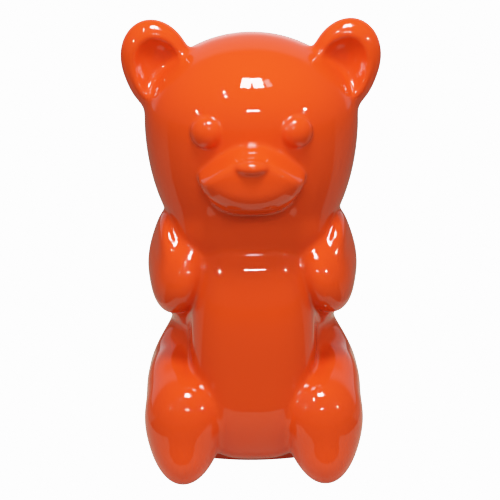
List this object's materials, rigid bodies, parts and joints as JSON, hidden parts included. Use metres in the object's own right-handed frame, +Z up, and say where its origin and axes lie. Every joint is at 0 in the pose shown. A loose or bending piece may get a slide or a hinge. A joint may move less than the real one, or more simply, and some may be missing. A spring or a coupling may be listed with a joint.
{
  "type": "gummy bear figure",
  "caption": "Seated gummy bear figure moulded in one piece with a high-gloss orange lacquer; it stands on its flat underside as an ornament or display piece.",
  "frame": {"origin": "middle of the bounding box's underside, on the surface the figure stands on", "axes": "+Z up, -Y the way the bear faces, +X the bear's left; the bear is symmetric about X = 0"},
  "size_m": [0.2524, 0.215, 0.4455],
  "materials": {
    "orange_lacquer": "high-gloss sprayed lacquer on moulded resin"
  },
  "bodies": {
    "root": {"gummy_bear": "orange_lacquer"}
  },
  "joints": []
}
